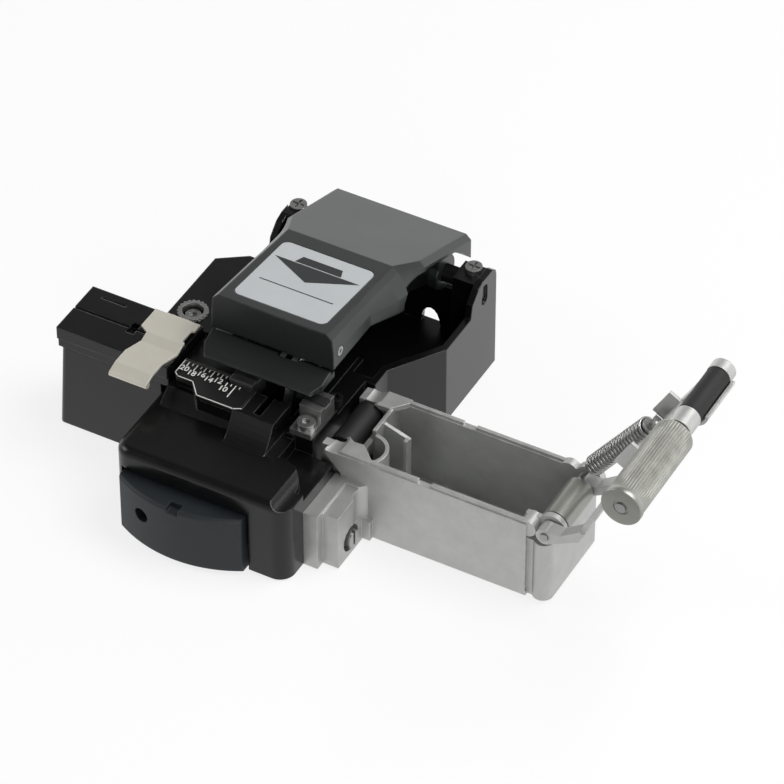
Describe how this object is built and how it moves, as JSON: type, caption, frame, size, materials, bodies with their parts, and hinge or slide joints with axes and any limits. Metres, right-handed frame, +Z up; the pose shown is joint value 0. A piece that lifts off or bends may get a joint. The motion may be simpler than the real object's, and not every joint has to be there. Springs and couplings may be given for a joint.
{
  "type": "fibre cleaver",
  "caption": "Bench fibre cleaver with raised press lever, sliding blade carriage, graduated fibre holder and a scrap collector whose sprung lid carries a feed roller, swung open.",
  "frame": {"origin": "on the resting surface, under the middle of the main casting", "axes": "+X towards the scrap collector, +Y from the blade knob towards the lever hinge, +Z up"},
  "size_m": [0.1464, 0.0912, 0.0649],
  "materials": {
    "black_enamel": "semi-gloss black enamel",
    "dark_steel": "blackened",
    "pad_rubber": "matte black",
    "steel": "brushed",
    "scale_black": "black with white marks",
    "magnet": "nickel plated",
    "stainless": "fine brushed sheet",
    "knob_plastic": "fine textured blue-black plastic",
    "carbide": "ground",
    "lever_paint": "satin dark grey enamel",
    "label_silver": "silver film",
    "brass": "plain",
    "spring_steel": "bright wire",
    "diecast": "bare die-cast, slightly mottled",
    "turned_alloy": "satin, knurled",
    "roller_rubber": "matte black"
  },
  "bodies": {
    "base": {"main_casting": "black_enamel", "bottom_cover": "black_enamel", "bottom_cover_screws": "dark_steel", "base_mat": "pad_rubber", "rubber_feet": "pad_rubber", "lower_bed_left": "steel", "lower_bed_right": "steel", "lower_pads": "pad_rubber", "bed_screws": "steel", "scale_plate": "scale_black", "holder_block": "black_enamel", "holder_screw": "dark_steel", "holder_plate": "black_enamel", "holder_magnet": "magnet", "leaf_pin": "steel", "adjust_screw": "steel", "adjust_ring": "steel", "deck_screw": "dark_steel", "slide_rail": "steel", "rail_screws": "dark_steel", "hinge_shaft": "dark_steel", "hinge_screws": "steel", "collector_box": "diecast", "collector_screw": "steel", "lid_hinge_pin": "steel", "lid_spacer_tube": "turned_alloy"},
    "clamp_arm": {"clamp_arm": "lever_paint", "clamp_arm_bushes": "brass", "upper_pads": "pad_rubber", "press_springs": "spring_steel"},
    "lever": {"lever_cover": "lever_paint", "label_plate": "label_silver", "lever_screws": "steel", "lever_frame": "dark_steel", "anvil": "steel"},
    "slider": {"linear_block": "steel", "slider_carriage": "black_enamel", "slider_knob": "knob_plastic", "knob_screw": "dark_steel", "blade_bracket": "dark_steel", "blade_axle": "steel"},
    "blade": {"blade_wheel": "carbide", "blade_hub": "steel"},
    "leaf": {"leaf_clamp": "stainless"},
    "lower_roller": {"lower_roller_shaft": "steel", "lower_roller_rubber": "roller_rubber"},
    "lid": {"collector_lid": "diecast", "lid_spring": "spring_steel", "lid_spring_anchors": "steel"},
    "feed_roller": {"feed_shaft": "steel", "upper_roller_rubber": "roller_rubber", "feed_knob": "turned_alloy", "feed_clip": "steel"}
  },
  "joints": [
    {"name": "arm_hinge", "type": "hinge", "parent": "base", "child": "clamp_arm", "pos_m": [0, 0.038, 0.0224], "axis": [1, 0, 0], "range_deg": [-40, 2.4]},
    {"name": "lever_press", "type": "hinge", "parent": "clamp_arm", "child": "lever", "pos_m": [0, 0.038, 0.0224], "axis": [1, 0, 0], "range_deg": [0, 1.2], "stiffness_Nm_per_rad": 2, "springref_deg": -1.72, "deforming": ["press_springs"]},
    {"name": "blade_slide", "type": "slide", "parent": "base", "child": "slider", "axis": [0, -1, 0], "range_m": [0, 0.012]},
    {"name": "blade_turn", "type": "hinge", "parent": "slider", "child": "blade", "pos_m": [0.0039, -0.0048, 0.019], "axis": [1, 0, 0], "continuous": true},
    {"name": "leaf_hinge", "type": "hinge", "parent": "base", "child": "leaf", "pos_m": [-0.02365, -0.0075, 0.0265], "axis": [-1, 0, 0], "range_deg": [0, 90]},
    {"name": "lower_roller_spin", "type": "hinge", "parent": "base", "child": "lower_roller", "pos_m": [0.0194, -0.0095, 0.0176], "axis": [0, 1, 0], "continuous": true},
    {"name": "lid_hinge", "type": "hinge", "parent": "base", "child": "lid", "pos_m": [0.0686, -0.01, 0.0198], "axis": [0, -1, 0], "range_deg": [0, 120]},
    {"name": "feed_spin", "type": "hinge", "parent": "lid", "child": "feed_roller", "pos_m": [0.09632, -0.02, 0.06061], "axis": [0, 1, 0], "continuous": true}
  ]
}
